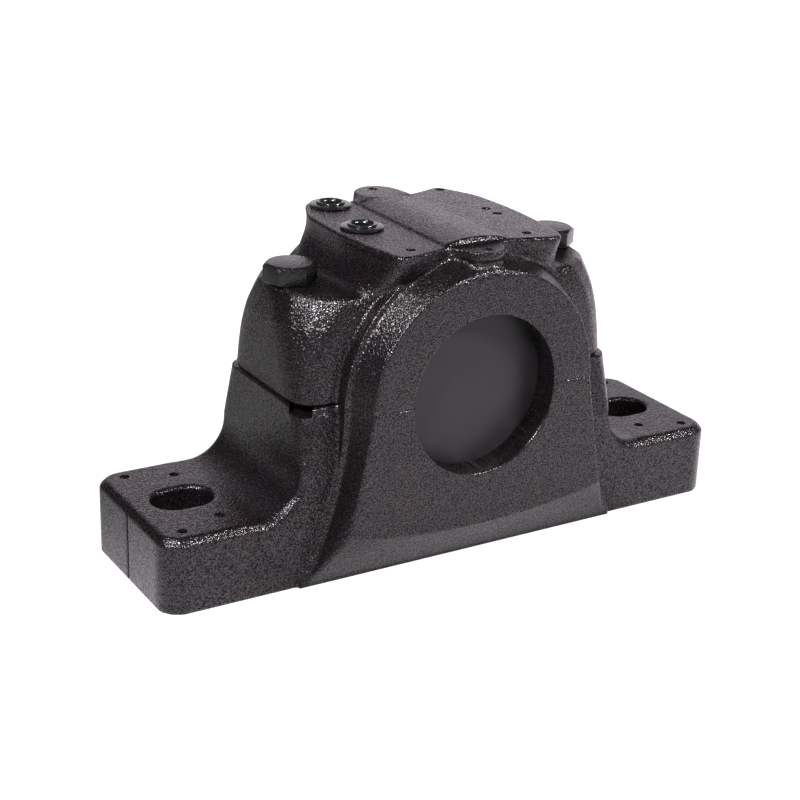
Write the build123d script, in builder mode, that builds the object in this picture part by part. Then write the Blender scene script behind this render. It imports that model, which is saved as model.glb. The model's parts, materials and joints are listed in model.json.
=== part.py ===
"""Split plummer block: a two-piece cast housing, closed on one side, with its bearing on an adapter sleeve.

Millimetres. The origin is at the middle of the mounting face, +X runs along the foot, -Y is the closed
front with the end cover, +Y the side where the shaft comes in, and +Z is up.
"""

import math
import os

from build123d import *

os.makedirs("parts", exist_ok=True)

# --- foot -----------------------------------------------------------------------------------------
foot_length = 255.0
foot_width = 70.0
foot_height = 30.0
foot_corner = 9.5
foot_bevel = 2.6
foot_bolt_end = 22.5  # from a slot's middle to the foot's end
slot_width = 18.0
slot_length = 24.0
slot_bevel = 1.0
scribe_width = 1.0
scribe_depth = 0.6

# --- column, between the foot and the split -------------------------------------------------------
centre_height = 70.0  # bore axis and split plane
column_length = 144.2
column_depth = 62.6  # at the split
column_corner = 9.0  # radius at the split
column_foot_corner = 3.0
column_blend = 16.0  # hollow curve from the foot's top up to the column's end
underside_wall = 9.0
underside_half_length = 88.0
underside_side_height = 21.0
underside_middle_half_length = 52.0
pry_slot_width = 14.0
pry_slot_height = 3.0
pry_slot_depth = 5.0

# --- drums, the round bosses on both faces --------------------------------------------------------
body_width = 95.0  # over both faces, along the shaft
drum_radius = 49.0
drum_draft = 22.0  # degrees, side of the drum
drum_flare = 9.0  # how much wider each side of the face is at its foot
flare_share = 0.45  # of the spread to the skirt, at the skirt's height
skirt_height = 22.5  # where the face's side ends
skirt_middle_height = 16.5
skirt_half_length = 72.0
skirt_out = 0.6  # the skirt's foot, past the foot's face
bead_width = 1.6
bead_height = 0.8

# --- bore, from the middle plane outwards ---------------------------------------------------------
seat_radius = 50.0
seat_width = 44.0
relief_radius = 42.0
relief_width = 4.5
shoulder_width = 3.5
groove_radius = 37.0
groove_width = 6.0
opening_radius = 31.7

# --- cap ------------------------------------------------------------------------------------------
barrel_wall = 5.5
barrel_width = 68.0
# bolt bosses, level by level: (height above the split, half length, half depth, corner radius)
block_levels = [
    (0.0, 70.3, 29.5, 10.0),
    (1.0, 71.3, 30.5, 11.0),
    (10.0, 71.8, 30.5, 14.0),
    (19.0, 71.8, 30.5, 17.0),
    (28.0, 71.1, 30.5, 21.0),
    (35.0, 69.8, 30.5, 26.0),
    (38.5, 68.6, 30.2, 28.0),
    (40.0, 66.8, 28.8, 28.0),
]
pad_over_drum = 8.0
pad_root_depth = 4.0  # of the lowest level, in the bosses
# outlines of the pads and of the hollow waist below them: (corner along the foot, corner across,
# half length between the corners, half depth beside the band, rounding of the corner)
waist_root = (54.0, 29.5, 50.0, 33.0, 17.0)
# the same, each after its drop from the pads' top
pad_levels = [
    (17.5, 50.0, 31.0, 46.5, 34.0, 17.0),
    (16.0, 47.0, 32.5, 44.5, 34.6, 16.0),
    (14.0, 43.5, 35.0, 43.3, 35.0, 14.0),
    (11.0, 40.0, 38.0, 42.0, 35.4, 11.0),
    (7.0, 37.0, 40.5, 40.6, 35.8, 8.0),
    (3.5, 36.0, 42.3, 40.5, 36.2, 7.0),
    (0.8, 36.5, 43.0, 41.0, 36.5, 7.0),
    (0.0, 35.7, 42.2, 40.2, 35.7, 6.5),
]
pad_side_bow = 0.75  # of the way from the corner to the half length, half way up the side
pad_side_flat = 0.125  # share of the side that is straight
round_steps = 4
band_half_width = 13.5
band_half_depth = 35.0
band_rise = 2.2  # crown above the pads
band_body = 7.7  # below the crown
band_groove = 1.0
tab_overhang = 0.5  # past the drum's face
tab_end_radius = 8.0
tab_root_half_width = 12.0
tab_drop = 0.5  # below the pads
tab_thickness = 3.5
tab_stem_half_width = 6.5
tab_stem_back = 2.5  # behind the drum's face

# --- cap bolts, dowels and plugs ------------------------------------------------------------------
cap_bolt_spacing = 119.5
cap_bolt_radius = 6.0
cap_bolt_flats = 18.0
cap_bolt_head_height = 7.5
cap_bolt_length = 65.0
cap_bolt_spare = 4.0  # thread below the bolt's end
cap_bolt_turn = 8.0  # degrees
cap_hole_clearance = 0.75
thread_fit = 0.05
dowel_radius = 3.0
dowel_length = 16.0
dowel_offset = 20.0  # along the shaft from the cap bolt
plug_collar_radius = 8.5
plug_collar_height = 2.0
plug_collar_draft = 20.0  # degrees
plug_thread_radius = 4.9
plug_thread_length = 8.0
plug_socket_flats = 6.0
plug_rim_radius = 5.0
plug_rim_depth = 1.2
plug_socket_depth = 4.0
lube_hole_radius = 2.5
plug_places = [("lube_plug_centre", -29.0, 0.0), ("lube_plug_side", -24.5, 33.0)]

# --- bearing on its sleeve ------------------------------------------------------------------------
bearing_width = 21.0
shaft_radius = 25.0
sleeve_thread_radius = 27.3
taper_small_radius = 27.5
taper = 1.0 / 24.0  # on the radius
bearing_play = 0.03
roller_radius = 6.5
roller_length = 12.5
roller_count = 16
roller_end_play = 0.25
pitch_radius = 38.6
cage_play = 0.25
cage_radial = 5.0
cage_side = 2.3
locating_ring_radial = 5.0
locating_ring_gap = 50.0  # degrees left open
nut_radius = 37.5
nut_width = 11.0
nut_slot_count = 4
nut_slot_width = 7.0
nut_slot_depth = 3.5
washer_radius = 40.5
washer_thickness = 1.5
washer_tab_count = 17
washer_tab_depth = 3.5
washer_tab_gap = 8.0
sleeve_thread_reach = 1.5  # past the nut
sleeve_big_end = 2.5  # past the bearing
sleeve_slit = 2.0
tongue_play = 0.1

# --- cover and seals ------------------------------------------------------------------------------
groove_play = 0.2
cover_play = 0.6
cord_width = 2.4
cord_depth = 2.6
lip_play = 0.3
lip_thickness = 1.2
seal_core_depth = 7.5

# --- for cutting and joining ----------------------------------------------------------------------
overlap = 1.0  # how far a cut runs past a face, or a form into the one that it joins
near = 0.01

# --- worked out -----------------------------------------------------------------------------------
seat_half = seat_width / 2
relief_end = seat_half + relief_width
groove_inner = relief_end + shoulder_width
groove_outer = groove_inner + groove_width
face = body_width / 2
foot_face = foot_width / 2
tab_reach = face + tab_overhang
bolt_spacing = foot_length - 2 * foot_bolt_end
barrel_radius = seat_radius + barrel_wall
barrel_half = barrel_width / 2
drum_root = foot_face + skirt_out
drum_spread = (face - drum_root) * math.tan(math.radians(drum_draft))
boss_height = block_levels[-1][0]
pad_inner_half_depth = pad_levels[-1][4]
boss_top = centre_height + boss_height
pad_height = drum_radius + pad_over_drum
pad_top = centre_height + pad_height
tab_under = pad_top - tab_drop - tab_thickness
bearing_half = bearing_width / 2
roller_half = roller_length / 2
nut_end = bearing_half + washer_thickness + nut_width
inner_race_radius = pitch_radius - roller_radius - bearing_play
outer_race_radius = math.hypot(pitch_radius + roller_radius + bearing_play, roller_half)
split_plane = Plane.XY.offset(centre_height)
bore_axis = Axis((0, 0, centre_height), (0, 1, 0))
cap_bolt_places = [(-cap_bolt_spacing / 2, 0), (cap_bolt_spacing / 2, 0)]
dowel_places = [
    ("dowel_pin_left", -cap_bolt_spacing / 2, dowel_offset),
    ("dowel_pin_right", cap_bolt_spacing / 2, -dowel_offset),
]


def across(y):
    """A plane square to the shaft at y, its x along +X and its y along +Z, seen from the front."""
    return Plane(origin=(0, y, 0), x_dir=(1, 0, 0), z_dir=(0, -1, 0))


def bore_section(degrees=0):
    """A plane through the bore axis: its x is the radius, its y runs along +Y."""
    turn = math.radians(degrees)
    outwards = (math.cos(turn), 0, math.sin(turn))
    return Plane(
        origin=(0, 0, centre_height), x_dir=outwards, z_dir=(-outwards[2], 0, outwards[0])
    )


def ring(inner, outer, y_from, y_to):
    """The section of a plain ring about the bore."""
    with Locations(((inner + outer) / 2, (y_from + y_to) / 2)):
        Rectangle(outer - inner, y_to - y_from)


def all_round(quarter):
    """A whole outline from its quarter between +X and +Y."""
    back = quarter[::-1]
    left = [(-x, y) for x, y in back] + [(-x, -y) for x, y in quarter]
    return quarter + left + [(x, -y) for x, y in back]


def block_outline(half_length, half_depth, corner):
    """A rectangle with round corners, as points."""
    turns = [math.pi / 2 * step / round_steps for step in range(round_steps + 1)]
    inner_x, inner_y = half_length - corner, half_depth - corner
    return all_round([(inner_x + corner * math.cos(t), inner_y + corner * math.sin(t)) for t in turns])


def pad_outline(corner_x, corner_y, half_length, half_depth, rounding):
    """A pad's outline: a bowed side, a rounded corner, and a front edge that draws in towards the band."""
    side = (corner_x + pad_side_bow * (half_length - corner_x), corner_y / 2)
    front = (band_half_width, half_depth)
    ends = []
    for x, y in (side, front):
        share = rounding / math.hypot(x - corner_x, y - corner_y)
        ends.append((corner_x + share * (x - corner_x), corner_y + share * (y - corner_y)))
    quarter = [(half_length, pad_side_flat * corner_y), side]
    for step in range(round_steps + 1):
        t = step / round_steps
        weights = ((1 - t) ** 2, 2 * t * (1 - t), t**2)
        places = (ends[0], (corner_x, corner_y), ends[1])
        quarter.append(tuple(sum(w * p[axis] for w, p in zip(weights, places)) for axis in (0, 1)))
    return all_round(quarter + [front])


def stack(levels):
    """A solid through flat outlines, each (height, points), with as many points at each level."""
    loops = [[(x, y, height) for x, y in points] for height, points in levels]
    faces = [Face(Wire.make_polygon(loop)) for loop in (loops[0], loops[-1])]
    for lower, upper in zip(loops, loops[1:]):
        for here in range(len(lower)):
            after = here + 1 - len(lower)
            for corners in (
                (lower[here], lower[after], upper[after]),
                (lower[here], upper[after], upper[here]),
            ):
                faces.append(Face(Wire.make_polygon(corners)))
    return Solid(Shell(faces))


def save(piece, label):
    piece.part.label = label
    export_step(piece.part, f"parts/{label}.step")


# === shapes that the two castings share ===========================================================
with BuildPart() as bore:
    with BuildSketch(bore_section()):
        ring(0, seat_radius, -seat_half, seat_half)
        ring(0, relief_radius, -relief_end, relief_end)
        ring(0, opening_radius, -face - overlap, face + overlap)
        for y in (-groove_outer, groove_inner):
            ring(0, groove_radius, y, y + groove_width)
    revolve(axis=bore_axis)


def lower_outline(y, spread, foot_half):
    """Half of the drum below the split: sides that flare out to the mounting face."""
    top = drum_radius + spread
    middle = (drum_radius + spread + (foot_half - top) * flare_share, skirt_height)
    with BuildSketch(across(y)) as sketch:
        with BuildLine():
            Line((-top, centre_height), (top, centre_height))
            ThreePointArc((top, centre_height), middle, (foot_half, 0))
            Line((foot_half, 0), (-foot_half, 0))
            ThreePointArc((-foot_half, 0), (-middle[0], middle[1]), (-top, centre_height))
        make_face()
    return sketch.sketch


def lower_face(y):
    """The drum's flat face below the split: flared sides over a bowed foot line."""
    foot_half = drum_radius + drum_flare
    with BuildSketch(across(y)) as sketch:
        with BuildLine():
            Line((-drum_radius, centre_height), (drum_radius, centre_height))
            Line((drum_radius, centre_height), (foot_half, skirt_height))
            ThreePointArc(
                (foot_half, skirt_height), (0, skirt_middle_height), (-foot_half, skirt_height)
            )
            Line((-foot_half, skirt_height), (-drum_radius, centre_height))
        make_face()
    return sketch.sketch


def upper_disc(y, radius, inner=0.0):
    """The half of a disc, or of a ring, above the split."""
    with BuildSketch(across(y)) as sketch:
        with Locations((0, centre_height)):
            Circle(radius)
            if inner:
                Circle(inner, mode=Mode.SUBTRACT)
        with Locations((0, centre_height - radius)):
            Rectangle(2 * (radius + overlap), 2 * radius, mode=Mode.SUBTRACT)
    return sketch.sketch


bead_front = drum_root + bead_height

# === base =========================================================================================
column_half = column_length / 2
column_foot = foot_height + column_blend
with BuildPart() as base:
    with BuildSketch(Plane.XZ):
        with BuildLine():
            run = Polyline(
                (0, 0),
                (foot_length / 2, 0),
                (foot_length / 2, foot_height),
                (column_half + column_blend, foot_height),
            )
            hollow = RadiusArc(run @ 1, (column_half, column_foot), column_blend)
            Line(hollow @ 1, (0, column_foot))
            mirror(about=Plane.YZ)
        make_face()
    extrude(amount=foot_face, both=True)
    upright = base.edges().filter_by(Axis.Z)
    fillet([e for e in upright if abs(e.center().X) > column_half + column_blend], foot_corner)
    brim = [
        e
        for e in base.edges()
        if foot_height - near < e.center().Z < column_foot - near
        and (
            abs(abs(e.center().Y) - foot_face) < near
            or abs(e.center().X) > foot_length / 2 - foot_corner
        )
    ]
    chamfer(brim, foot_bevel)
    column_levels = [
        (column_foot, block_outline(column_half, foot_face, column_foot_corner)),
        (centre_height, block_outline(column_half, column_depth / 2, column_corner)),
    ]
    add(stack(column_levels))

    # drums with their skirts, and the beads that run down beside them
    for side in (-1, 1):
        root = lower_outline(side * drum_root, drum_spread, skirt_half_length)
        loft([root, lower_face(side * face)], ruled=True)
        extrude(root, amount=drum_root - seat_half, dir=(0, -side, 0))
        bead = lower_outline(
            side * bead_front, drum_spread + bead_width, skirt_half_length + bead_width
        )
        extrude(bead, amount=bead_front - seat_half, dir=(0, -side, 0))

    # bore and holes
    add(bore.part, mode=Mode.SUBTRACT)
    with BuildSketch(Plane.XY):
        with GridLocations(bolt_spacing, 0, 2, 1):
            SlotOverall(slot_length, slot_width)
    extrude(amount=foot_height, mode=Mode.SUBTRACT)
    with Locations(split_plane):
        with Locations(*cap_bolt_places):
            Hole(cap_bolt_radius + thread_fit, cap_bolt_length - boss_height + cap_bolt_spare)
        with Locations(*[(x, y) for _, x, y in dowel_places]):
            Hole(dowel_radius, dowel_length / 2)
    slot_rims = [
        e
        for e in base.edges()
        if abs(e.center().Z - foot_height) < near
        and abs(abs(e.center().X) - bolt_spacing / 2) < slot_length / 2 + overlap
        and abs(e.center().Y) < slot_width
    ]
    chamfer(slot_rims, slot_bevel)

    # cored underside: shallow below the bore, deeper towards the feet
    with BuildSketch():
        underside_width = foot_width - 2 * underside_wall
        RectangleRounded(2 * underside_half_length, underside_width, foot_corner)
    extrude(amount=centre_height - seat_radius - underside_wall, mode=Mode.SUBTRACT)
    for side in (-1, 1):
        with BuildSketch():
            side_length = underside_half_length - underside_middle_half_length
            with Locations((side * (underside_half_length - side_length / 2), 0)):
                RectangleRounded(side_length, underside_width, foot_corner)
        extrude(amount=underside_side_height, mode=Mode.SUBTRACT)

    # pry slots at two opposite corners of the split
    for side in (-1, 1):
        with BuildSketch(split_plane):
            corner = (side * (column_half - column_corner), side * column_depth / 2)
            with Locations(Location(corner, 0)):
                Rectangle(pry_slot_width, 2 * pry_slot_depth)
        extrude(amount=-pry_slot_height, mode=Mode.SUBTRACT)

    # centre lines scribed on the foot's ends
    for side in (-1, 1):
        with BuildSketch():
            with Locations((side * foot_length / 2, 0)):
                Rectangle(2 * scribe_depth, scribe_width)
        extrude(amount=foot_height, mode=Mode.SUBTRACT)

save(base, "base")

# === cap ==========================================================================================
with BuildPart() as cap:
    # bolt bosses: square at the split, round at the top
    add(stack([(centre_height + height, block_outline(*outline)) for height, *outline in block_levels]))

    # barrel over the bearing seat, and the drums on both faces
    extrude(upper_disc(0, barrel_radius), amount=barrel_half, both=True, dir=(0, 1, 0))
    for side in (-1, 1):
        root = upper_disc(side * drum_root, drum_radius + drum_spread)
        loft([root, upper_disc(side * face, drum_radius)], ruled=True)
        extrude(root, amount=drum_root - seat_half, dir=(0, -side, 0))
        bead = upper_disc(side * bead_front, drum_radius + drum_spread + bead_width)
        extrude(bead, amount=bead_front - seat_half, dir=(0, -side, 0))

    # flat pads on top, over their hollow waist
    root = (boss_top - pad_root_depth, pad_outline(*waist_root))
    add(stack([root] + [(pad_top - drop, pad_outline(*outline)) for drop, *outline in pad_levels]))

    # crowned band between the pads
    band_radius = pad_height + band_rise
    with BuildSketch(across(0), mode=Mode.PRIVATE) as band:
        with Locations((0, centre_height)):
            Circle(band_radius)
            Circle(barrel_radius, mode=Mode.SUBTRACT)
        with Locations((0, centre_height + band_radius)):
            Rectangle(2 * band_half_width, 2 * band_body, mode=Mode.INTERSECT)
    extrude(band.sketch, amount=band_half_depth, both=True, dir=(0, 1, 0))

    # a tab over each drum, on its stem
    for side in (-1, 1):
        with BuildSketch(Plane.XY.offset(tab_under)):
            with Locations((0, side * (tab_reach - tab_end_radius))):
                Circle(tab_end_radius)
            with Locations((0, side * (band_half_depth - overlap))):
                Rectangle(2 * tab_root_half_width, overlap)
            make_hull()
        extrude(amount=tab_thickness)
        with BuildSketch(Plane.XY.offset(tab_under)):
            with Locations((0, side * (seat_half + face - tab_stem_back) / 2)):
                Rectangle(2 * tab_stem_half_width, face - tab_stem_back - seat_half)
        extrude(amount=centre_height + drum_radius - tab_under - overlap)

    # grooves beside the band
    with BuildSketch(Plane.XY.offset(pad_top)):
        with GridLocations(2 * band_half_width + band_groove, 0, 2, 1):
            Rectangle(band_groove, 2 * (pad_inner_half_depth + band_groove))
    extrude(amount=-band_groove, mode=Mode.SUBTRACT)

    # bore and holes
    add(bore.part, mode=Mode.SUBTRACT)
    with Locations(Plane.XY.offset(boss_top)):
        with Locations(*cap_bolt_places):
            Hole(cap_bolt_radius + cap_hole_clearance, boss_height)
    with BuildSketch(split_plane):
        with Locations(*[(x, y) for _, x, y in dowel_places]):
            Circle(dowel_radius + thread_fit)
    extrude(amount=dowel_length / 2, mode=Mode.SUBTRACT)
    with Locations(Plane.XY.offset(pad_top)):
        with Locations(*[(x, y) for _, x, y in plug_places]):
            Hole(plug_thread_radius + thread_fit, plug_thread_length)
            Hole(lube_hole_radius, boss_height)

save(cap, "cap")

# === cap bolts ====================================================================================
for label, x in (("cap_bolt_left", cap_bolt_places[0][0]), ("cap_bolt_right", cap_bolt_places[1][0])):
    with BuildPart() as cap_bolt:
        with BuildSketch(Plane.XY.offset(boss_top)):
            with Locations((x, 0)):
                RegularPolygon(
                    cap_bolt_flats / 2, 6, major_radius=False, rotation=cap_bolt_turn
                )
        extrude(amount=cap_bolt_head_height)
        with BuildSketch(Plane.XY.offset(boss_top)):
            with Locations((x, 0)):
                Circle(cap_bolt_radius)
        extrude(amount=-cap_bolt_length)
    save(cap_bolt, label)

# === dowel pins ===================================================================================
for label, x, y in dowel_places:
    with BuildPart() as dowel:
        with Locations((x, y, centre_height)):
            Cylinder(dowel_radius, dowel_length - 2 * thread_fit)
    save(dowel, label)

# === lubrication plugs ============================================================================
for label, x, y in plug_places:
    with BuildPart() as plug:
        with BuildSketch(Plane.XY.offset(pad_top)):
            with Locations((x, y)):
                Circle(plug_collar_radius)
        extrude(amount=plug_collar_height, taper=plug_collar_draft)
        with BuildSketch(Plane.XY.offset(pad_top)):
            with Locations((x, y)):
                Circle(plug_thread_radius)
        extrude(amount=thread_fit - plug_thread_length)
        with Locations((x, y, pad_top + plug_collar_height)):
            Hole(plug_rim_radius, plug_rim_depth)
        with BuildSketch(Plane.XY.offset(pad_top + plug_collar_height)):
            with Locations((x, y)):
                RegularPolygon(plug_socket_flats / 2, 6, major_radius=False)
        extrude(amount=-plug_collar_height - plug_socket_depth, mode=Mode.SUBTRACT)
    save(plug, label)

# === end cover in the front groove ================================================================
cover_front = -groove_outer + groove_play
cover_back = -groove_inner - groove_play
cover_middle = (cover_front + cover_back) / 2
cover_radius = groove_radius - cover_play
cord_radius = cover_radius - cord_depth
with BuildPart() as end_cover:
    with BuildSketch(bore_section()):
        ring(0, cover_radius, cover_front, cover_back)
        with Locations((cover_radius, cover_middle)):
            Rectangle(2 * cord_depth, cord_width, mode=Mode.SUBTRACT)
    revolve(axis=bore_axis)
save(end_cover, "end_cover")

with BuildPart() as cover_cord:
    with BuildSketch(bore_section()):
        ring(cord_radius, groove_radius, cover_middle - cord_width / 2, cover_middle + cord_width / 2)
    revolve(axis=bore_axis)
save(cover_cord, "end_cover_o_ring")

# === shaft seal in the rear groove, split in two halves ===========================================
seal_inner = groove_inner + groove_play
seal_outer = groove_outer - groove_play
seal_core = groove_radius - seal_core_depth
lip_radius = shaft_radius + lip_play
for label, start in (("shaft_seal_upper", 0), ("shaft_seal_lower", 180)):
    with BuildPart() as shaft_seal:
        with BuildSketch(bore_section(start)):
            ring(seal_core, groove_radius, seal_inner, seal_outer)
            for y in (seal_inner, seal_outer - lip_thickness):
                ring(lip_radius, seal_core, y, y + lip_thickness)
        revolve(axis=bore_axis, revolution_arc=-180)
    save(shaft_seal, label)

# === locating rings on both sides of the bearing ==================================================
for label, y in (("locating_ring_front", -seat_half), ("locating_ring_rear", bearing_half)):
    with BuildPart() as locating_ring:
        with BuildSketch(bore_section(locating_ring_gap / 2 - 90)):
            ring(seat_radius - locating_ring_radial, seat_radius, y, y + seat_half - bearing_half)
        revolve(axis=bore_axis, revolution_arc=-(360 - locating_ring_gap))
    save(locating_ring, label)

# === bearing ======================================================================================
race_edge = math.sqrt(outer_race_radius**2 - bearing_half**2)
with BuildPart() as outer_ring:
    with BuildSketch(bore_section()):
        with BuildLine():
            rim = Polyline(
                (race_edge, -bearing_half),
                (seat_radius, -bearing_half),
                (seat_radius, bearing_half),
                (race_edge, bearing_half),
            )
            ThreePointArc(rim @ 1, (outer_race_radius, 0), rim @ 0)
        make_face()
    revolve(axis=bore_axis)
save(outer_ring, "outer_ring")

with BuildPart() as inner_ring:
    with BuildSketch(bore_section()):
        with BuildLine():
            Polyline(
                (taper_small_radius, -bearing_half),
                (inner_race_radius, -bearing_half),
                (inner_race_radius, bearing_half),
                (taper_small_radius + bearing_width * taper, bearing_half),
                close=True,
            )
        make_face()
    revolve(axis=bore_axis)
save(inner_ring, "inner_ring")

with BuildPart() as rollers:
    with BuildSketch(across(-roller_half)):
        with Locations((0, centre_height)):
            with PolarLocations(pitch_radius, roller_count):
                Circle(roller_radius)
    extrude(amount=-roller_length)
save(rollers, "rollers")

pocket_half = roller_half + roller_end_play
cage_half = pocket_half + cage_side
with BuildPart() as cage:
    with BuildSketch(bore_section()):
        ring(pitch_radius - cage_radial / 2, pitch_radius + cage_radial / 2, -cage_half, cage_half)
    revolve(axis=bore_axis)
    with BuildSketch(across(-pocket_half)):
        with Locations((0, centre_height)):
            with PolarLocations(pitch_radius, roller_count):
                Circle(roller_radius + cage_play)
    extrude(amount=-2 * pocket_half, mode=Mode.SUBTRACT)
save(cage, "cage")

# === adapter sleeve with its nut and lock washer ==================================================
sleeve_front = -(nut_end + sleeve_thread_reach)
sleeve_back = bearing_half + sleeve_big_end
with BuildPart() as adapter_sleeve:
    with BuildSketch(bore_section()):
        with BuildLine():
            Polyline(
                (shaft_radius, sleeve_front),
                (sleeve_thread_radius, sleeve_front),
                (sleeve_thread_radius, -bearing_half),
                (taper_small_radius, -bearing_half),
                (taper_small_radius + (sleeve_back + bearing_half) * taper, sleeve_back),
                (shaft_radius, sleeve_back),
                close=True,
            )
        make_face()
    revolve(axis=bore_axis)
    with BuildSketch(across(sleeve_front - overlap)):
        with Locations((0, centre_height + taper_small_radius)):
            Rectangle(sleeve_slit, 2 * (taper_small_radius - shaft_radius + 2 * overlap))
    extrude(amount=sleeve_front - sleeve_back - 2 * overlap, mode=Mode.SUBTRACT)
save(adapter_sleeve, "adapter_sleeve")

with BuildPart() as lock_nut:
    with BuildSketch(across(-nut_end)):
        with Locations((0, centre_height)):
            Circle(nut_radius)
            Circle(sleeve_thread_radius + thread_fit, mode=Mode.SUBTRACT)
            with PolarLocations(nut_radius, nut_slot_count, start_angle=180 / nut_slot_count):
                Rectangle(2 * nut_slot_depth, nut_slot_width, mode=Mode.SUBTRACT)
    extrude(amount=-nut_width)
save(lock_nut, "lock_nut")

with BuildPart() as lock_washer:
    with BuildSketch(across(-bearing_half - washer_thickness)):
        with Locations((0, centre_height)):
            Circle(washer_radius)
            with PolarLocations(washer_radius, washer_tab_count):
                Rectangle(2 * washer_tab_depth, washer_tab_gap, mode=Mode.SUBTRACT)
            Circle(sleeve_thread_radius + thread_fit, mode=Mode.SUBTRACT)
        with Locations((0, centre_height + (shaft_radius + taper_small_radius + overlap) / 2)):
            tongue_width = sleeve_slit - 2 * tongue_play
            Rectangle(tongue_width, taper_small_radius + overlap - shaft_radius - 2 * tongue_play)
    extrude(amount=-washer_thickness)
save(lock_washer, "lock_washer")
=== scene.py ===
"""The looks of a split plummer block: painted castings, fasteners, cover, seals and bearing.

Metres, in the same frame as the part: the origin is at the middle of the mounting face, +X runs along the
foot, -Y is the closed front, +Y the side where the shaft comes in, and +Z is up.
"""

import json
import math

import bmesh
import bpy
import numpy as np
from mathutils import Matrix, Vector


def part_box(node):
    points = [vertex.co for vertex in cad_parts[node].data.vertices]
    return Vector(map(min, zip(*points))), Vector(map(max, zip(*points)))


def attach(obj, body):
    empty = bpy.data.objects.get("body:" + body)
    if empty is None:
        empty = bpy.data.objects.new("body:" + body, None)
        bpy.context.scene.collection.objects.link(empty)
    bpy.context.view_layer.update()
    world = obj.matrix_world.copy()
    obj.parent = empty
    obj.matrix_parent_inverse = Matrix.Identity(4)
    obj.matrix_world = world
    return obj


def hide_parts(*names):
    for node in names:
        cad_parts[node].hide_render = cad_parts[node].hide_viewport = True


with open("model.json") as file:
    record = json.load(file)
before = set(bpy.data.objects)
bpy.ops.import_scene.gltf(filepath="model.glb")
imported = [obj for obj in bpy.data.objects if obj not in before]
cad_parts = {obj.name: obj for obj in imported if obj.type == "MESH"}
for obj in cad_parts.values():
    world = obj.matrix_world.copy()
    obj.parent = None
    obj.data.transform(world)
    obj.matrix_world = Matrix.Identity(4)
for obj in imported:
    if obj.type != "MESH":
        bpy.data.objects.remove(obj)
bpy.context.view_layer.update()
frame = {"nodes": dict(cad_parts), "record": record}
MM = 0.001

# === sizes that the looks need =====================================================================
bore_height = 70 * MM
pad_top = 127 * MM
crown_top = 129.2 * MM
shelf_top = 110 * MM
opening_radius = 31.7 * MM
bead_radius = 55 * MM

skin_grain = 0.55 * MM  # the even faces that a casting is cut into
finished_triangles = 185000  # of one casting
split_overrun = 3 * MM  # how far a casting's copy goes past the split before it is trimmed
split_groove = 0.28 * MM
pit_radius = 1.95 * MM
pit_depth = 3.8 * MM
floor_drop = 0.05 * MM  # keeps the floor just clear of the mounting face


# === small helpers =================================================================================
def linked(name, mesh):
    """A new object with this mesh, in the scene."""
    thing = bpy.data.objects.new(name, mesh)
    bpy.context.scene.collection.objects.link(thing)
    return thing


def mesh_from(work, name):
    """A mesh from a bmesh, its faces turned outwards."""
    bmesh.ops.recalc_face_normals(work, faces=work.faces)
    mesh = bpy.data.meshes.new(name)
    work.to_mesh(mesh)
    work.free()
    return mesh


def applied(thing):
    """Bakes an object's modifiers into its mesh."""
    graph = bpy.context.evaluated_depsgraph_get()
    mesh = bpy.data.meshes.new_from_object(thing.evaluated_get(graph), depsgraph=graph)
    thing.modifiers.clear()
    old = thing.data
    thing.data = mesh
    bpy.data.meshes.remove(old)
    return thing


def smooth_shaded(mesh, angle):
    """Shades a mesh smooth, apart from edges sharper than the angle."""
    mesh.shade_smooth()
    mesh.set_sharp_from_angle(angle=math.radians(angle))


def ease(value, low, high):
    """0 below low, 1 above high, smooth between."""
    share = np.clip((value - low) / (high - low), 0, 1)
    return share * share * (3 - 2 * share)


# === node helpers ==================================================================================
def node(tree, kind, sockets=None, **settings):
    """A shader node with its settings, its sockets linked or set."""
    made = tree.nodes.new(kind)
    for name, value in settings.items():
        setattr(made, name, value)
    for name, value in (sockets or {}).items():
        if isinstance(value, bpy.types.NodeSocket):
            tree.links.new(value, made.inputs[name])
        else:
            made.inputs[name].default_value = value
    return made


def ramp(tree, value, stops):
    """A colour ramp with its stops given as (place, colour)."""
    made = node(tree, "ShaderNodeValToRGB", {"Fac": value})
    elements = made.color_ramp.elements
    while len(elements) < len(stops):
        elements.new(0.5)
    for element, (place, tone) in zip(elements, stops):
        element.position = place
        element.color = (*tone, 1)
    return made.outputs["Color"]


def spread(tree, value, low, high):
    """Maps 0..1 to low..high."""
    sockets = {"Value": value, "To Min": low, "To Max": high}
    return node(tree, "ShaderNodeMapRange", sockets).outputs["Result"]


def mapped(tree, value, given, wanted):
    """Maps one range to another, smoothly and held at its ends."""
    sockets = {"Value": value, "From Min": given[0], "From Max": given[1]}
    sockets.update({"To Min": wanted[0], "To Max": wanted[1]})
    return node(tree, "ShaderNodeMapRange", sockets, interpolation_type="SMOOTHSTEP").outputs["Result"]


def maths(tree, operation, first, second=0.0):
    return node(tree, "ShaderNodeMath", {0: first, 1: second}, operation=operation).outputs["Value"]


def distance_from_axis(tree, across, up):
    """How far a place is from an axis, by its two parts square to it."""
    squares = [maths(tree, "POWER", part, 2.0) for part in (across, up)]
    return maths(tree, "SQRT", maths(tree, "ADD", *squares))


def shader_group(name, inputs, outputs):
    """A node group with named numbers in and out: its tree, what it is given and what it gives."""
    tree = bpy.data.node_groups.new(name, "ShaderNodeTree")
    for socket, default in inputs.items():
        made = tree.interface.new_socket(socket, in_out="INPUT", socket_type="NodeSocketFloat")
        made.default_value = default
    for socket in outputs:
        tree.interface.new_socket(socket, in_out="OUTPUT", socket_type="NodeSocketFloat")
    return tree, tree.nodes.new("NodeGroupInput").outputs, tree.nodes.new("NodeGroupOutput").inputs


def noise(tree, place, scale, detail, rough=0.5):
    sockets = {"Vector": place, "Scale": scale, "Detail": detail, "Roughness": rough}
    return node(tree, "ShaderNodeTexNoise", sockets).outputs["Fac"]


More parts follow.
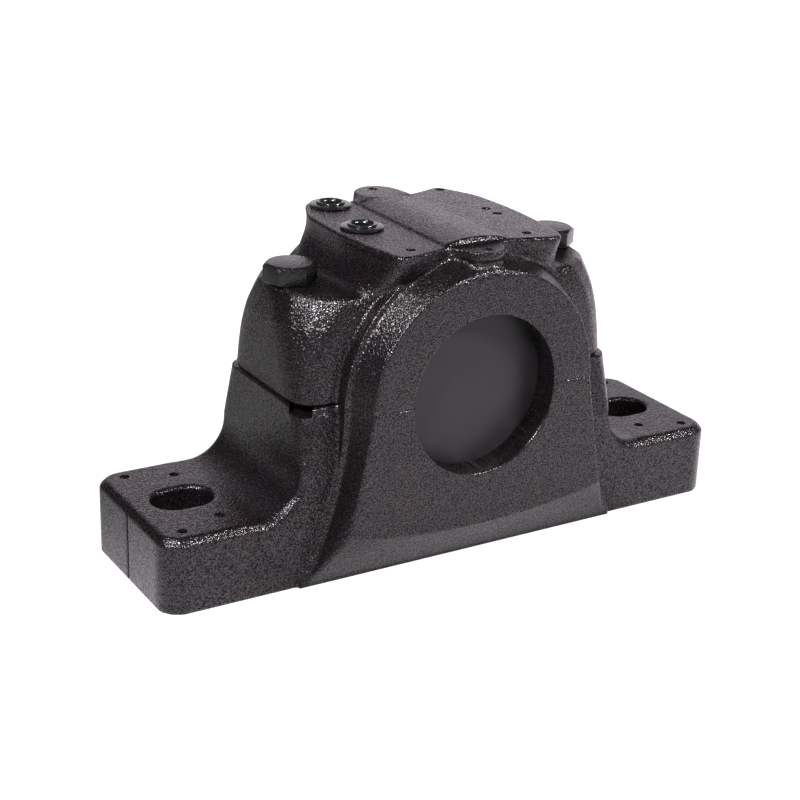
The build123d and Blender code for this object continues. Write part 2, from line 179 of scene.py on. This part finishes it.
def make_cast_skin():
    """Painted cast grain: pebbles with finer ones on them over slow waves, and where the paint is uneven."""
    inputs = {"Pebbles per metre": 800.0, "Wave share": 0.35, "Fine share": 0.4}
    tree, given, result = shader_group("cast_skin", inputs, ["Height", "Speckle", "Uneven"])
    place = node(tree, "ShaderNodeTexCoord").outputs["Object"]

    def pebbles_times(factor):
        return maths(tree, "MULTIPLY", given["Pebbles per metre"], factor)

    pebbles = noise(tree, place, given["Pebbles per metre"], 1.0)
    fine = noise(tree, place, pebbles_times(1.9), 0.0)
    waves = noise(tree, place, pebbles_times(0.25), 1.0)
    height = maths(tree, "ADD", pebbles, maths(tree, "MULTIPLY", fine, given["Fine share"]))
    height = maths(tree, "ADD", height, maths(tree, "MULTIPLY", waves, given["Wave share"]))
    tree.links.new(height, result["Height"])
    # Speckle: the mask where painted_casting paints shade into the grain's pits and makes them rougher.
    flecks = noise(tree, place, pebbles_times(1.7), 1.0)
    speckle = maths(tree, "ADD", maths(tree, "MULTIPLY", flecks, 0.55), maths(tree, "MULTIPLY", fine, 0.45))
    tree.links.new(speckle, result["Speckle"])
    uneven = noise(tree, place, pebbles_times(0.05), 4.0, 0.6)
    tree.links.new(uneven, result["Uneven"])
    return tree


def make_turning_marks():
    """Fine rings about the bore axis, as turning and grinding leave."""
    tree, given, result = shader_group("turning_marks", {"Rings per metre": 2500.0}, ["Height", "Tone"])
    place = node(tree, "ShaderNodeTexCoord").outputs["Object"]
    centred = node(tree, "ShaderNodeMapping", {"Vector": place, "Location": (0, 0, -bore_height)})
    parts = node(tree, "ShaderNodeSeparateXYZ", {"Vector": centred.outputs["Vector"]}).outputs
    radius = distance_from_axis(tree, parts["X"], parts["Z"])
    profile = node(tree, "ShaderNodeCombineXYZ", {"X": radius, "Y": parts["Y"]}).outputs["Vector"]
    rings = noise(tree, profile, given["Rings per metre"], 2.0)
    tree.links.new(rings, result["Height"])
    tree.links.new(noise(tree, profile, 400.0, 3.0), result["Tone"])
    return tree


cast_skin = make_cast_skin()
turning_marks = make_turning_marks()


def skin_on(tree, pebbles, **shares):
    """The cast skin in a material, with this many pebbles a metre."""
    sockets = {"Pebbles per metre": pebbles}
    sockets.update({name.replace("_", " "): share for name, share in shares.items()})
    return node(tree, "ShaderNodeGroup", sockets, node_tree=cast_skin).outputs


def bumps(tree, height, depth, strength=1.0):
    """Normals for a height that varies over the surface."""
    sockets = {"Height": height, "Strength": strength, "Distance": depth}
    return node(tree, "ShaderNodeBump", sockets).outputs["Normal"]


def finish_of(name):
    """A new material, with its tree and its Principled shader."""
    made = bpy.data.materials.new(name)
    made.use_nodes = True
    tree = made.node_tree
    tree.nodes.clear()
    shader = node(tree, "ShaderNodeBsdfPrincipled")
    node(tree, "ShaderNodeOutputMaterial", {"Surface": shader.outputs["BSDF"]})
    return made, tree, shader


def dress(tree, shader, **sockets):
    """Sets or links the shader's sockets by their names."""
    for name, value in sockets.items():
        socket = shader.inputs[name.replace("_", " ")]
        if isinstance(value, bpy.types.NodeSocket):
            tree.links.new(value, socket)
        else:
            socket.default_value = value


def inside_openings(tree):
    """1 on the machined walls of the openings, 0 outside them."""
    place = node(tree, "ShaderNodeTexCoord").outputs["Object"]
    parts = node(tree, "ShaderNodeSeparateXYZ", {"Vector": place}).outputs
    up = maths(tree, "SUBTRACT", parts["Z"], bore_height)
    return maths(tree, "LESS_THAN", distance_from_axis(tree, parts["X"], up), opening_radius + 0.9 * MM)


def painted_casting():
    """Black semi-gloss paint over cast grain, browner where it is thin, with painted shade: darker and duller
    in its pits.
    """
    made, tree, shader = finish_of("painted_casting")
    skin = skin_on(tree, 1150.0, Fine_share=0.5, Wave_share=0.3)
    uneven = skin["Uneven"]
    grain = maths(tree, "MULTIPLY", skin["Height"], spread(tree, inside_openings(tree), 1.0, 0.35))
    thin, full, thick = (0.0075, 0.0045, 0.0042), (0.0045, 0.0036, 0.0044), (0.0055, 0.0045, 0.0054)
    tone = ramp(tree, uneven, [(0.35, thin), (0.52, full), (0.72, thick)])
    # Painted shade from the speckle: the colour is darker in the grain's pits and lighter on its peaks, and
    # dark metal there dims the pits' reflection.
    painted_pit_shade = mapped(tree, skin["Speckle"], (0.38, 0.62), (0.2, 1.7))
    matt = mapped(tree, skin["Speckle"], (0.39, 0.58), (0.40, 0.13))
    painted_pit_reflection_shade = mapped(tree, skin["Speckle"], (0.37, 0.61), (0.8, 0.0))
    colour = node(tree, "ShaderNodeVectorMath", {0: tone, "Scale": painted_pit_shade}, operation="SCALE").outputs["Vector"]
    dress(
        tree,
        shader,
        Base_Color=colour,
        Roughness=maths(tree, "ADD", matt, spread(tree, uneven, -0.03, 0.05)),
        Metallic=painted_pit_reflection_shade,
        Specular_IOR_Level=0.5,
        Specular_Tint=(1.0, 0.95, 1.0, 1),
        Normal=bumps(tree, grain, 0.27 * MM),
    )
    return made


def black_steel(name, tone, roughness, shine, pebbles, depth):
    """Blackened steel: a smooth dark face with faint blotches."""
    made, tree, shader = finish_of(name)
    skin = skin_on(tree, pebbles)
    low, high = tuple(0.7 * t for t in tone), tuple(1.3 * t for t in tone)
    dress(
        tree,
        shader,
        Base_Color=ramp(tree, skin["Uneven"], [(0.3, low), (0.7, high)]),
        Roughness=spread(tree, skin["Uneven"], roughness - 0.06, roughness + 0.08),
        Specular_IOR_Level=shine,
        Normal=bumps(tree, skin["Height"], depth),
    )
    return made


def turned_metal(name, tone, roughness):
    """Turned or ground metal, with rings about the bore."""
    made, tree, shader = finish_of(name)
    marks = node(tree, "ShaderNodeGroup", node_tree=turning_marks).outputs
    low = tuple(0.85 * t for t in tone)
    dress(
        tree,
        shader,
        Base_Color=ramp(tree, marks["Tone"], [(0.3, low), (0.7, tone)]),
        Roughness=spread(tree, marks["Tone"], roughness - 0.05, roughness + 0.08),
        Metallic=1.0,
        Normal=bumps(tree, marks["Height"], 0.02 * MM, 0.5),
    )
    return made


def satin_cover():
    """The end cover's smooth dark satin."""
    made, tree, shader = finish_of("satin_cover")
    skin = skin_on(tree, 1300.0)
    low, high = (0.012, 0.0105, 0.012), (0.016, 0.014, 0.016)
    dress(
        tree,
        shader,
        Base_Color=ramp(tree, skin["Uneven"], [(0.3, low), (0.7, high)]),
        Roughness=spread(tree, skin["Uneven"], 0.34, 0.42),
        Specular_IOR_Level=0.25,
        Normal=bumps(tree, skin["Height"], 0.05 * MM, 0.6),
    )
    return made


def seal_rubber():
    """The seals' and the cord's dull black rubber."""
    made, tree, shader = finish_of("seal_rubber")
    skin = skin_on(tree, 2000.0)
    low, high = (0.016, 0.016, 0.016), (0.03, 0.03, 0.03)
    dress(
        tree,
        shader,
        Base_Color=ramp(tree, skin["Uneven"], [(0.3, low), (0.7, high)]),
        Roughness=spread(tree, skin["Uneven"], 0.55, 0.7),
        Normal=bumps(tree, skin["Height"], 0.04 * MM, 0.4),
    )
    return made


bolt_steel = {"tone": (0.0045, 0.004, 0.0045), "roughness": 0.22, "shine": 0.22}
plug_steel = {"tone": (0.007, 0.007, 0.008), "roughness": 0.16, "shine": 0.45}
finishes = {
    "painted_casting": painted_casting(),
    "black_bolt": black_steel("black_bolt", **bolt_steel, pebbles=1000.0, depth=0.2 * MM),
    "black_plug": black_steel("black_plug", **plug_steel, pebbles=1200.0, depth=0.05 * MM),
    "bearing_steel": turned_metal("bearing_steel", (0.62, 0.62, 0.64), 0.22),
    "machined_steel": turned_metal("machined_steel", (0.46, 0.46, 0.47), 0.36),
    "satin_cover": satin_cover(),
    "seal_rubber": seal_rubber(),
    "cage_brass": turned_metal("cage_brass", (0.72, 0.52, 0.24), 0.3),
}
slot_of = {s["node"]: s["material_slot"] for s in frame["record"]["subparts"]}


def wear(thing, slot):
    """Gives a new piece the finish of a slot of the record."""
    thing.data.materials.clear()
    thing.data.materials.append(finishes[slot])


for name, thing in frame["nodes"].items():
    if not thing.material_slots:
        thing.data.materials.append(None)
    for holder in thing.material_slots:
        holder.material = finishes[slot_of[name]]


# === castings ======================================================================================
def weigh(thing, name, rule):
    """A vertex group whose weight at each point is rule(x, y, z)."""
    group = thing.vertex_groups.new(name=name)
    places = np.empty(len(thing.data.vertices) * 3, np.float32)
    thing.data.vertices.foreach_get("co", places)
    weights = np.round(rule(*places.reshape(-1, 3).T), 1)
    for level in np.unique(weights):
        if level > 0:
            group.add(np.flatnonzero(weights == level).tolist(), float(level), "REPLACE")


def soften(thing, grain, rules):
    """Rounds a fine mesh by the widths given, each where its rule says."""
    for place, (rule, width) in enumerate(rules):
        weigh(thing, f"soften_{place}", rule)
        relax = thing.modifiers.new(f"soften_{place}", "SMOOTH")
        relax.factor = 0.5
        relax.iterations = max(1, round((2 * width / grain) ** 2))
        relax.vertex_group = f"soften_{place}"
    applied(thing)
    thing.vertex_groups.clear()


def slab(work, low, high, turn=0.0):
    """A box between two corners in millimetres, turned about its own upright."""
    low, high = Vector(low) * MM, Vector(high) * MM
    place = Matrix.Translation((low + high) / 2) @ Matrix.Rotation(math.radians(turn), 4, "Z")
    stretch = Matrix.Diagonal((*(high - low), 1))
    bmesh.ops.create_cube(work, size=1, matrix=place @ stretch)


def disc(work, radius, y_from, y_to):
    """A round slab about the bore, in millimetres."""
    middle = Matrix.Translation((0, (y_from + y_to) / 2 * MM, bore_height))
    bmesh.ops.create_cone(
        work,
        cap_ends=True,
        segments=96,
        radius1=radius * MM,
        radius2=radius * MM,
        depth=(y_to - y_from) * MM,
        matrix=middle @ Matrix.Rotation(math.pi / 2, 4, "X"),
    )


def fill_openings(work):
    """Closes both openings, which are cut again when the rest has been rounded."""
    radius, inner, face = 33, 37, 47.5
    disc(work, radius, -face, -inner)
    disc(work, radius, inner, face)


def rear_tongue(work):
    """The rear tab, as high as the band's crown."""
    tip = Matrix.Translation((0, 38 * MM, crown_top - 2.5 * MM))
    tongue = bmesh.new()
    bmesh.ops.create_cone(
        tongue, cap_ends=True, segments=48, radius1=10 * MM, radius2=9.5 * MM, depth=5 * MM, matrix=tip
    )
    slab(tongue, (-12, 30, 124.2), (12, 31, 128.4))
    bmesh.ops.convex_hull(tongue, input=tongue.verts)
    loose = [v for v in tongue.verts if not v.link_faces]
    bmesh.ops.delete(tongue, geom=loose, context="VERTS")
    mesh = bpy.data.meshes.new("tongue")
    tongue.to_mesh(mesh)
    tongue.free()
    work.from_mesh(mesh)
    bpy.data.meshes.remove(mesh)


def old_pry_slots(work):
    """Fills the slots at the drum's side: they are cut at the column's corners instead."""
    for side in (-1, 1):
        low, high = sorted((side * 55, side * 71)), sorted((side * 25, side * 31.1))
        slab(work, (low[0], high[0], 66), (low[1], high[1], 70))


def solid_past_split(source, side, additions):
    """A casting's solid, carried on past its joint face so that rounding leaves that face's edge crisp."""
    work = bmesh.new()
    work.from_mesh(frame["nodes"][source].data)
    bmesh.ops.remove_doubles(work, verts=work.verts, dist=0.002 * MM)
    work.normal_update()
    joint = [f for f in work.faces if abs(f.calc_center_median().z - bore_height) < 0.01 * MM]
    grown = bmesh.ops.extrude_face_region(work, geom=joint)["geom"]
    grown = [v for v in grown if isinstance(v, bmesh.types.BMVert)]
    bmesh.ops.translate(work, verts=grown, vec=(0, 0, -side * split_overrun))
    for add in additions:
        add(work)
    mesh = bpy.data.meshes.new(source)
    work.to_mesh(mesh)
    work.free()
    return mesh


def trim_at_split(thing, side):
    """Cuts a casting off flat at the split, eases the cut's edge and closes it."""
    work = bmesh.new()
    work.from_mesh(thing.data)
    cut = bmesh.ops.bisect_plane(
        work,
        geom=[*work.verts, *work.edges, *work.faces],
        plane_co=(0, 0, bore_height),
        plane_no=(0, 0, -side),
        clear_outer=True,
    )["geom_cut"]
    work.normal_update()
    for vert in cut:
        if isinstance(vert, bmesh.types.BMVert):
            inwards = Vector((vert.normal.x, vert.normal.y, 0))
            vert.co -= inwards.normalized() * split_groove
    rim = [e for e in cut if isinstance(e, bmesh.types.BMEdge)]
    bmesh.ops.triangle_fill(work, use_beauty=True, edges=rim, normal=(0, 0, -side))
    work.to_mesh(thing.data)
    work.free()


def pull_in_back_corners(thing):
    """The pads' back corners stand further in than their front ones."""
    places = np.empty(len(thing.data.vertices) * 3, np.float32)
    thing.data.vertices.foreach_get("co", places)
    x, y, z = places.reshape(-1, 3).T
    share = ease(y, 22 * MM, 43 * MM) * ease(z, 108 * MM, 120 * MM) * ease(abs(x), 18 * MM, 38 * MM)
    places[0::3] = x * (1 - 0.12 * share)
    thing.data.vertices.foreach_set("co", places)


def spun(work, places, centre, axis, steps):
    """Turns a line through the places about an axis."""
    points = [work.verts.new(place) for place in places]
    edges = [work.edges.new(pair) for pair in zip(points, points[1:])]
    geom = points + edges
    bmesh.ops.spin(work, geom=geom, cent=centre, axis=axis, angle=math.tau, steps=steps, use_merge=True)


def turned_cut(work, side):
    """The cutter of one opening, with a fine chamfer at the face."""
    rim = [(31.7, 46.2), (31.7, 46.7), (31.85, 47.15), (32.3, 47.6), (32.3, 50)]
    profile = [(0, 34.5), (31.7, 34.5), *rim, (0, 50)]
    places = [(r * MM, side * y * MM, bore_height) for r, y in profile]
    spun(work, places, (0, 0, bore_height), (0, 1, 0), 128)


def pit(work, x, y, z):
    """A round blind hole in a cast face at a place in millimetres, narrower at its bottom."""
    cutter_depth = 1.3 * pit_depth
    bmesh.ops.create_cone(
        work,
        cap_ends=True,
        segments=20,
        radius1=0.62 * pit_radius,
        radius2=1.12 * pit_radius,
        depth=cutter_depth,
        matrix=Matrix.Translation(Vector((x, y, z)) * MM + Vector((0, 0, cutter_depth / 2 - pit_depth))),
    )


def scribe_line(work, side):
    """The centre line on a foot's end."""
    ends = sorted((side * 126.8, side * 129))
    slab(work, (ends[0], -0.45, -1), (ends[1], 0.45, 27.2))


def pry_slot(work, side):
    """A slot at a corner of the split, milled across the corner."""
    centre = Vector((side * 69.0, side * 27.2, 68.6))
    half = Vector((8.6, 4.6, 1.7))
    slab(work, centre - half, centre + half, turn=52)


def cutters(name, cuts):
    """All cuts of a casting as one object, each cut given as (its function, where)."""
    work = bmesh.new()
    for shape, *places in cuts:
        shape(work, *places)
    bmesh.ops.remove_doubles(work, verts=work.verts, dist=0.001 * MM)
    return linked(name, mesh_from(work, name))


def cast_body(source, side, additions, rules, reshape, cuts):
    """A casting's rounded skin: its solid in fine even faces, softened where the mould rounded it."""
    thing = linked(f"painted_{source}", solid_past_split(source, side, additions))
    grain = skin_grain
    even = thing.modifiers.new("even_faces", "REMESH")
    even.mode = "VOXEL"
    even.voxel_size = grain
    applied(thing)
    for change in reshape:
        change(thing)
    soften(thing, grain, rules)
    triangles = 2 * len(thing.data.polygons)
    if triangles > finished_triangles:
        thin = thing.modifiers.new("thin_out", "DECIMATE")
        thin.ratio = finished_triangles / triangles
        applied(thing)
    trim_at_split(thing, side)
    cut = thing.modifiers.new("cuts", "BOOLEAN")
    cutter = cutters(f"{source}_cuts", cuts)
    cut.object, cut.operation, cut.solver = cutter, "DIFFERENCE", "EXACT"
    applied(thing)
    bpy.data.objects.remove(cutter)
    smooth_shaded(thing.data, 60)
    wear(thing, "painted_casting")
    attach(thing, "housing")
    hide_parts(source)


def crisp(x, y, z):
    """How crisp the machined and fine edges stay: the faces' rims and the bead."""
    radius = np.hypot(x, z - bore_height)
    face = ease(abs(y), 43 * MM, 46 * MM) * 0.7
    bead = (1 - ease(abs(radius - bead_radius), 1 * MM, 3 * MM)) * ease(z, bore_height, bore_height + 2 * MM)
    return np.maximum(face, 0.35 * bead * ease(abs(y), 33 * MM, 35 * MM))


def base_softness(x, y, z):
    """All of the base, apart from its machined faces and the edge it stands on."""
    return 1 - 0.9 * np.maximum(crisp(x, y, z), (1 - ease(z, 0.5 * MM, 3 * MM)) * 0.7)


def cap_softness(x, y, z):
    """All of the cap, apart from its faces and its top. The tabs are as soft as the rest."""
    tab = (1 - ease(abs(x), 13 * MM, 15 * MM)) * ease(abs(y), 30 * MM, 33 * MM) * ease(z, 113 * MM, 115 * MM)
    return 1 - 0.9 * (1 - tab) * np.maximum(crisp(x, y, z), ease(z, 124 * MM, 125.5 * MM) * 0.55)


def boss_softness(x, y, z):
    """The bolt bosses' sides and the hollow waist, where the mould's curves run into each other."""
    inside = ease(z, 71 * MM, 76 * MM) * (1 - ease(z, 120 * MM, 123.5 * MM))
    outside = ease(np.hypot(x, z - bore_height), bead_radius + 1 * MM, bead_radius + 3 * MM)
    rim = ease(abs(x), 47 * MM, 52 * MM) * (1 - ease(abs(z - shelf_top + 0.5 * MM), 1.5 * MM, 4 * MM))
    return inside * outside * (1 - ease(abs(y), 36 * MM, 42 * MM)) * (1 - 0.85 * rim)


def stem_softness(x, y, z):
    """The stems under the tabs, which flow into the drum."""
    beside = (1 - ease(abs(x), 13 * MM, 16 * MM)) * ease(abs(y), 34 * MM, 37 * MM)
    return beside * ease(z, 112 * MM, 115 * MM) * (1 - ease(z, 122.5 * MM, 124.5 * MM))


def column_softness(x, y, z):
    """The hollow between the foot and the column."""
    return ease(abs(x), 66 * MM, 70 * MM) * (1 - ease(abs(x), 90 * MM, 96 * MM)) * ease(z, 27 * MM, 30 * MM)


# Places are in millimetres: across, along the shaft and the height of the face.
openings = [(turned_cut, -1), (turned_cut, 1)]
corners = [(sx, sy) for sx in (-1, 1) for sy in (-1, 1)]
foot_pits = [(pit, sx * x, sy * y, 30) for x, y in ((117, 27), (99, 20.5)) for sx, sy in corners]
base_cuts = [(scribe_line, -1), (scribe_line, 1), (pry_slot, -1), (pry_slot, 1)]
pad_places = [(-27.5, -33, 127), (25, -32, 127), (29.5, 37, 127), (30.5, 4, 127), (30.5, -4, 127)]
tab_places = [(0, -43, 126.5), (0, 41.5, 129.2)]
cap_pits = [(pit, *place) for place in pad_places + tab_places]
cast_body(
    "base",
    side=-1,
    additions=[fill_openings, old_pry_slots],
    rules=[(column_softness, 1.6 * MM), (base_softness, 0.9 * MM)],
    reshape=[],
    cuts=openings + foot_pits + base_cuts,
)
cast_body(
    "cap",
    side=1,
    additions=[fill_openings, rear_tongue],
    rules=[(boss_softness, 2.4 * MM), (stem_softness, 2.0 * MM), (cap_softness, 0.8 * MM)],
    reshape=[pull_in_back_corners],
    cuts=openings + cap_pits,
)


# === cap bolts and plugs ===========================================================================
def cone_at(name, place, radii, depth, segments=96, turn=0.0):
    """An upright cone, cylinder or prism, about its middle."""
    work = bmesh.new()
    bmesh.ops.create_cone(
        work,
        cap_ends=True,
        segments=segments,
        radius1=radii[0],
        radius2=radii[1],
        depth=depth,
        matrix=Matrix.Translation(place) @ Matrix.Rotation(turn, 4, "Z"),
    )
    return linked(name, mesh_from(work, name))


def joined_by(thing, other, operation):
    """A piece after a Boolean with another, which is used up."""
    join = thing.modifiers.new("join", "BOOLEAN")
    join.object, join.operation, join.solver = other, operation, "EXACT"
    applied(thing)
    bpy.data.objects.remove(other)


def bolt_piece(source):
    """A bolt whose hexagon head has a chamfered crown over a thin washer face, on its shank."""
    low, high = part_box(source)
    x = (low.x + high.x) / 2
    flats, head = 18 * MM, high.z - shelf_top
    corner = flats / 2 / math.cos(math.pi / 6)
    washer_face, washer_radius = 0.5 * MM, 0.47 * flats
    shank_radius = 5.9 * MM
    middle = Vector((x, 0, (shelf_top + washer_face + high.z) / 2))
    thing = cone_at(f"hexagon_{source}", middle, (corner, corner), head - washer_face, 6, math.radians(8))
    crown, slope = 0.475 * flats, math.tan(math.radians(36))
    rise = head + 1 * MM
    top = high.z + 0.001 * MM
    envelope = cone_at("crown", Vector((x, 0, top - rise / 2)), (crown + rise / slope, crown), rise)
    joined_by(thing, envelope, "INTERSECT")
    edges = thing.modifiers.new("edges", "BEVEL")
    edges.width, edges.segments = 0.3 * MM, 2
    edges.limit_method, edges.angle_limit = "ANGLE", math.radians(25)
    applied(thing)
    foot = Vector((x, 0, shelf_top + washer_face / 2))
    washer = cone_at("washer_face", foot, (washer_radius, washer_radius), 1.2 * washer_face)
    joined_by(thing, washer, "UNION")
    below = Vector((x, 0, (shelf_top + low.z) / 2))
    shank = cone_at("shank", below, (shank_radius, shank_radius), shelf_top - low.z, 48)
    joined_by(thing, shank, "UNION")
    smooth_shaded(thing.data, 35)
    wear(thing, "black_bolt")
    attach(thing, "housing")
    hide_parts(source)


def plug_piece(source):
    """A plug with a flat collar round a raised glossy head with a hexagon socket."""
    low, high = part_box(source)
    centre = (low + high) / 2
    rise, seat = (high.z - pad_top) / MM, pad_top / MM
    # Radius and height over the pad, in millimetres: the socket's floor, the head, the collar and the stem.
    profile = [
        (0.0, rise - 1.0),
        (4.0, rise - 1.0),
        (4.35, rise - 0.3),
        (4.7, rise - 0.05),
        (5.0, rise),
        (5.5, rise - 0.2),
        (5.7, rise - 0.6),
        (5.75, rise - 0.95),
        (8.1, rise - 1.0),
        (8.4, rise - 1.15),
        (8.5, rise - 1.4),
        (8.4, 0.25),
        (8.0, 0.1),
        (4.85, 0.1),
        (4.85, low.z / MM - seat),
        (0.0, low.z / MM - seat),
    ]
    work = bmesh.new()
    places = [(centre.x + r * MM, centre.y, pad_top + z * MM) for r, z in profile]
    spun(work, places, (centre.x, centre.y, 0), (0, 0, 1), 72)
    bmesh.ops.remove_doubles(work, verts=work.verts, dist=0.002 * MM)
    thing = linked(f"headed_{source}", mesh_from(work, source))
    across = 3.0 / math.cos(math.pi / 6) * MM
    middle = Vector((centre.x, centre.y, high.z - 2.5 * MM))
    socket = cone_at("socket", middle, (across, across), 5 * MM, 6, math.radians(20))
    joined_by(thing, socket, "DIFFERENCE")
    smooth_shaded(thing.data, 40)
    wear(thing, "black_plug")
    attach(thing, "housing")
    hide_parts(source)


for bolt in ("cap_bolt_left", "cap_bolt_right"):
    bolt_piece(bolt)
for plug in ("lube_plug_centre", "lube_plug_side"):
    plug_piece(plug)


# === camera, light and floor =======================================================================
def look_from(place, turn, tilt, roll, lens):
    """A camera turned from +Y towards +X, tilted down and rolled, in degrees."""
    camera = bpy.data.objects.new("camera", bpy.data.cameras.new("camera"))
    bpy.context.scene.collection.objects.link(camera)
    aim = Matrix.Rotation(-math.radians(turn), 4, "Z")
    aim = aim @ Matrix.Rotation(math.radians(90 - tilt), 4, "X") @ Matrix.Rotation(math.radians(roll), 4, "Z")
    camera.matrix_world = Matrix.Translation(place) @ aim
    camera.data.lens = lens
    camera.data.sensor_width = 36
    camera.data.clip_start, camera.data.clip_end = 0.02, 50
    bpy.context.scene.camera = camera


def softbox(name, way, size, radiance):
    """A softbox seen from the object in the direction given, as bright as asked."""
    target, distance = Vector((0, 0, 60 * MM)), 1.3
    place = target + Vector(way).normalized() * distance
    lamp = bpy.data.lights.new(name, "AREA")
    lamp.shape = "RECTANGLE"
    lamp.size, lamp.size_y = size
    lamp.energy = 4 * radiance * size[0] * size[1]
    thing = bpy.data.objects.new(name, lamp)
    thing.location = place
    thing.rotation_mode = "QUATERNION"
    thing.rotation_quaternion = (target - place).to_track_quat("-Z", "Y")
    bpy.context.scene.collection.objects.link(thing)


look_from((-0.34598, -0.54163, 0.30406), turn=31.878, tilt=21.489, roll=2.1157, lens=76.64)
softbox("left_front", way=(-0.64, -0.37, 0.69), size=(0.50, 0.18), radiance=95)
softbox("right_front", way=(0.47, -0.66, 0.58), size=(0.40, 0.10), radiance=150)
softbox("left", way=(-0.50, 0.10, 0.86), size=(0.30, 0.14), radiance=30)


def tinted(tree, green):
    """White with its green as given."""
    return node(tree, "ShaderNodeCombineColor", {"Red": 1.0, "Green": green, "Blue": 1.0}).outputs["Color"]


def pale_floor():
    """White paper with a painted reflection glow, bright in front and dim at the back left, and a painted
    shadow beneath the block.
    """
    made = bpy.data.materials.new("pale_floor")
    made.use_nodes = True
    tree = made.node_tree
    tree.nodes.clear()
    place = node(tree, "ShaderNodeTexCoord").outputs["Object"]
    parts = node(tree, "ShaderNodeSeparateXYZ", {"Vector": place}).outputs
    away = node(tree, "ShaderNodeVectorMath", {0: place}, operation="LENGTH").outputs["Value"]
    ray = node(tree, "ShaderNodeLightPath").outputs
    mirrored = maths(tree, "MAXIMUM", ray["Is Glossy Ray"], ray["Is Transmission Ray"])
    shown = maths(tree, "MULTIPLY", ray["Is Camera Ray"], mapped(tree, away, (0.15, 0.5), (0.8, 1.0)))
    # Painted reflection and shadow: the floor glows, tinted pink, only to reflected rays, brighter in front,
    # dim at the back left and less beneath the block. To the camera it glows less near the block, so its real
    # shadow shows there.
    towards_front = maths(tree, "SUBTRACT", parts["X"], parts["Y"])
    in_front = maths(tree, "MULTIPLY", mirrored, mapped(tree, towards_front, (-0.24, -0.09), (0.0, 1.2)))
    far_left = maths(tree, "MULTIPLY", mirrored, mapped(tree, towards_front, (-0.8, -0.42), (0.12, 0.0)))
    within_length = mapped(tree, maths(tree, "ABSOLUTE", parts["X"]), (0.07, 0.10), (1.0, 0.0))
    within_depth = mapped(tree, maths(tree, "ABSOLUTE", parts["Y"]), (0.05, 0.08), (1.0, 0.0))
    painted_shadow_under_block = maths(tree, "MULTIPLY", within_length, within_depth)
    painted_reflection_glow = maths(tree, "ADD", in_front, far_left)
    painted_reflection_glow = maths(tree, "MULTIPLY", painted_reflection_glow, spread(tree, painted_shadow_under_block, 1.0, 0.4))
    tint = tinted(tree, spread(tree, mirrored, 1.0, 0.93))
    lit = node(tree, "ShaderNodeBsdfDiffuse", {"Color": (0.26, 0.26, 0.26, 1)})
    strength = maths(tree, "ADD", shown, painted_reflection_glow)
    glow = node(tree, "ShaderNodeEmission", {"Color": tint, "Strength": strength})
    both = node(tree, "ShaderNodeAddShader", {0: lit.outputs["BSDF"], 1: glow.outputs["Emission"]})
    node(tree, "ShaderNodeOutputMaterial", {"Surface": both.outputs["Shader"]})
    return made


def lay_floor():
    work = bmesh.new()
    level = Matrix.Translation((0, 0, -floor_drop))
    bmesh.ops.create_grid(work, x_segments=1, y_segments=1, size=4, matrix=level)
    floor = linked("floor", mesh_from(work, "floor"))
    floor.data.materials.append(pale_floor())


def studio_world():
    """White to the camera; a bright sheet low behind the object, and dim elsewhere."""
    world = bpy.data.worlds.new("studio")
    bpy.context.scene.world = world
    world.use_nodes = True
    tree = world.node_tree
    tree.nodes.clear()
    way = node(tree, "ShaderNodeTexCoord").outputs["Generated"]
    parts = node(tree, "ShaderNodeSeparateXYZ", {"Vector": way}).outputs
    low = mapped(tree, parts["Z"], (0.40, 0.52), (1.0, 0.0))
    behind = mapped(tree, parts["Y"], (0.1, 0.5), (0.0, 1.0))
    right = mapped(tree, parts["X"], (-0.15, 0.3), (0.0, 1.0))
    sheet = maths(tree, "MULTIPLY", maths(tree, "MULTIPLY", low, behind), right)
    seen = node(tree, "ShaderNodeLightPath").outputs["Is Camera Ray"]
    strength = maths(tree, "MAXIMUM", spread(tree, sheet, 0.03, 1.25), seen)
    tint = tinted(tree, spread(tree, seen, 0.92, 1.0))
    glow = node(tree, "ShaderNodeBackground", {"Color": tint, "Strength": strength})
    node(tree, "ShaderNodeOutputWorld", {"Surface": glow.outputs["Background"]})


lay_floor()
studio_world()
bpy.context.scene.view_settings.view_transform = "Standard"
